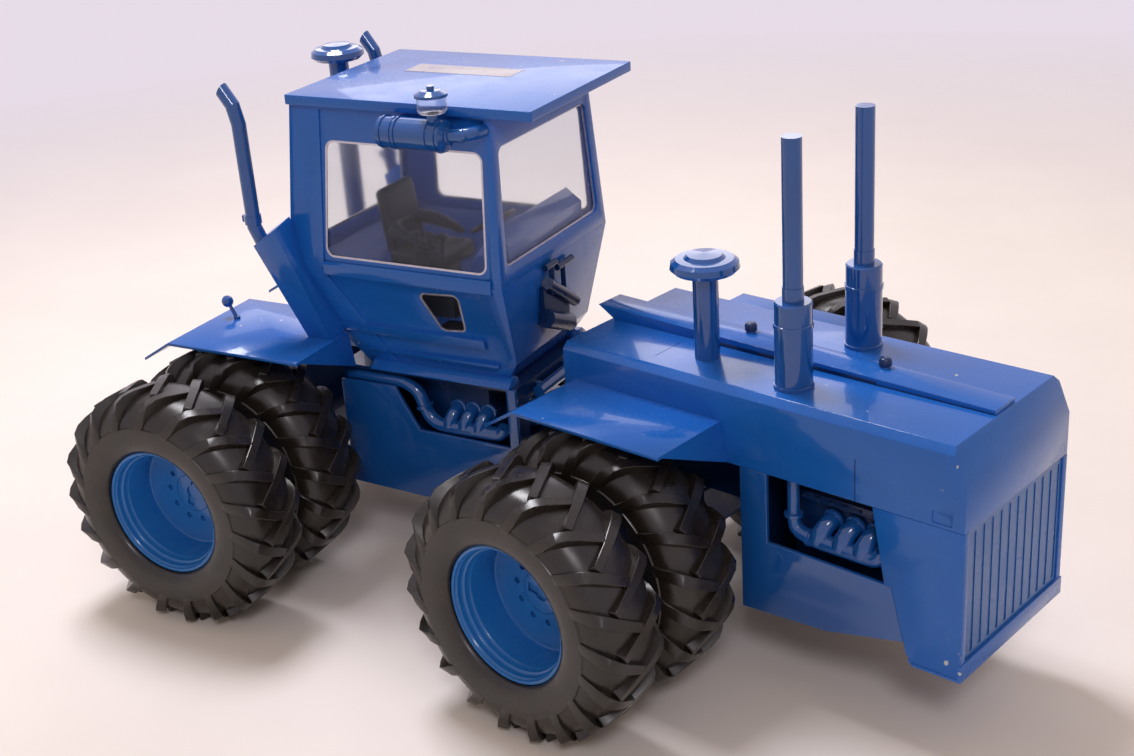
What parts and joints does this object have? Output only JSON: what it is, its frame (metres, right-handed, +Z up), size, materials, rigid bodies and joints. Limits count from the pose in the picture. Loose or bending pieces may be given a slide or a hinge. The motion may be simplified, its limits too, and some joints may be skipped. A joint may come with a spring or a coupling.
{
  "type": "scale model of an articulated farm tractor",
  "caption": "Scale model of an articulated four-wheel-drive farm tractor: dual tyres at every corner, cab over the rear engine, steering hinge between the halves.",
  "frame": {"origin": "on the floor under the centre of the model's bounding box, as parked", "axes": "+X forward along the front half, +Y to its left, +Z up"},
  "size_m": [0.4496, 0.3006, 0.2391],
  "materials": {
    "blue_paint": "gloss",
    "tyre_rubber": "satin",
    "clear_plastic": "gloss",
    "bare_steel": "satin"
  },
  "bodies": {
    "front_half": {"front_frame": "blue_paint", "front_side_plates": "blue_paint", "front_axle": "blue_paint", "hood": "blue_paint", "hood_spine": "blue_paint", "nose": "blue_paint", "grille": "blue_paint", "front_engine": "blue_paint", "front_manifolds": "blue_paint", "front_fenders": "blue_paint", "exhaust_stacks": "blue_paint", "front_intake": "blue_paint", "pivot_pin": "bare_steel"},
    "rear_half": {"rear_frame": "blue_paint", "rear_side_plates": "blue_paint", "rear_axle": "blue_paint", "rear_engine": "blue_paint", "rear_manifolds": "blue_paint", "rear_fenders": "blue_paint", "marker_lamps": "blue_paint", "cab_lower": "blue_paint", "cab_frame": "blue_paint", "roof": "blue_paint", "side_glass": "clear_plastic", "windscreen": "clear_plastic", "rear_glass": "clear_plastic", "lower_glass": "clear_plastic", "seat": "blue_paint", "steering_wheel": "blue_paint", "console": "blue_paint", "levers": "blue_paint", "air_cleaner": "blue_paint", "precleaner_bowl": "clear_plastic", "precleaner_lid": "blue_paint", "valve_unit": "blue_paint", "exhaust_housings": "blue_paint", "tail_pipes": "blue_paint", "rear_intake": "blue_paint", "cross_ram": "blue_paint", "drawbar": "blue_paint"},
    "wheel_front_right": {"rims_front_right": "blue_paint", "tyre_outer_front_right": "tyre_rubber", "tyre_inner_front_right": "tyre_rubber"},
    "wheel_front_left": {"rims_front_left": "blue_paint", "tyre_outer_front_left": "tyre_rubber", "tyre_inner_front_left": "tyre_rubber"},
    "wheel_rear_right": {"rims_rear_right": "blue_paint", "tyre_outer_rear_right": "tyre_rubber", "tyre_inner_rear_right": "tyre_rubber"},
    "wheel_rear_left": {"rims_rear_left": "blue_paint", "tyre_outer_rear_left": "tyre_rubber", "tyre_inner_rear_left": "tyre_rubber"},
    "ram_barrel_right": {"ram_barrel_right": "blue_paint"},
    "ram_rod_right": {"ram_rod_right": "bare_steel"},
    "ram_barrel_left": {"ram_barrel_left": "blue_paint"},
    "ram_rod_left": {"ram_rod_left": "bare_steel"}
  },
  "joints": [
    {"name": "articulation", "type": "hinge", "parent": "front_half", "child": "rear_half", "pos_m": [-0.01377, 0.01892, 0.06598], "axis": [0, 0, 1], "range_deg": [-46.3, 19.7]},
    {"name": "wheel_front_right_spin", "type": "hinge", "parent": "front_half", "child": "wheel_front_right", "pos_m": [0.07624, 0.01892, 0.05698], "axis": [0, 1, 0], "continuous": true},
    {"name": "wheel_front_left_spin", "type": "hinge", "parent": "front_half", "child": "wheel_front_left", "pos_m": [0.07624, 0.01892, 0.05698], "axis": [0, 1, 0], "continuous": true},
    {"name": "wheel_rear_right_spin", "type": "hinge", "parent": "rear_half", "child": "wheel_rear_right", "pos_m": [-0.1393, -0.01075, 0.05698], "axis": [-0.23, 0.9732, 0], "continuous": true},
    {"name": "wheel_rear_left_spin", "type": "hinge", "parent": "rear_half", "child": "wheel_rear_left", "pos_m": [-0.1393, -0.01075, 0.05698], "axis": [-0.23, 0.9732, 0], "continuous": true},
    {"name": "ram_right_swing", "type": "hinge", "parent": "rear_half", "child": "ram_barrel_right", "pos_m": [-0.01055, 0.0053, 0.08538], "axis": [0, 0, 1], "range_deg": [-20.9, 47.7]},
    {"name": "ram_right_stroke", "type": "slide", "parent": "ram_barrel_right", "child": "ram_rod_right", "axis": [0.9982, -0.0596, 0], "range_m": [-0.0051, 0.0114]},
    {"name": "ram_left_swing", "type": "hinge", "parent": "rear_half", "child": "ram_barrel_left", "pos_m": [-0.01699, 0.03255, 0.08538], "axis": [0, 0, 1], "range_deg": [-21.4, 49]},
    {"name": "ram_left_stroke", "type": "slide", "parent": "ram_barrel_left", "child": "ram_rod_left", "axis": [0.9987, 0.0513, 0], "range_m": [-0.0113, 0.0051]}
  ],
  "couplings": [
    {"joint": "ram_right_swing", "follows": "articulation", "ratio": -1.0088},
    {"joint": "ram_right_stroke", "follows": "articulation", "m_per_rad": -0.013638},
    {"joint": "ram_left_swing", "follows": "articulation", "ratio": -1.0372},
    {"joint": "ram_left_stroke", "follows": "articulation", "m_per_rad": 0.01355}
  ]
}
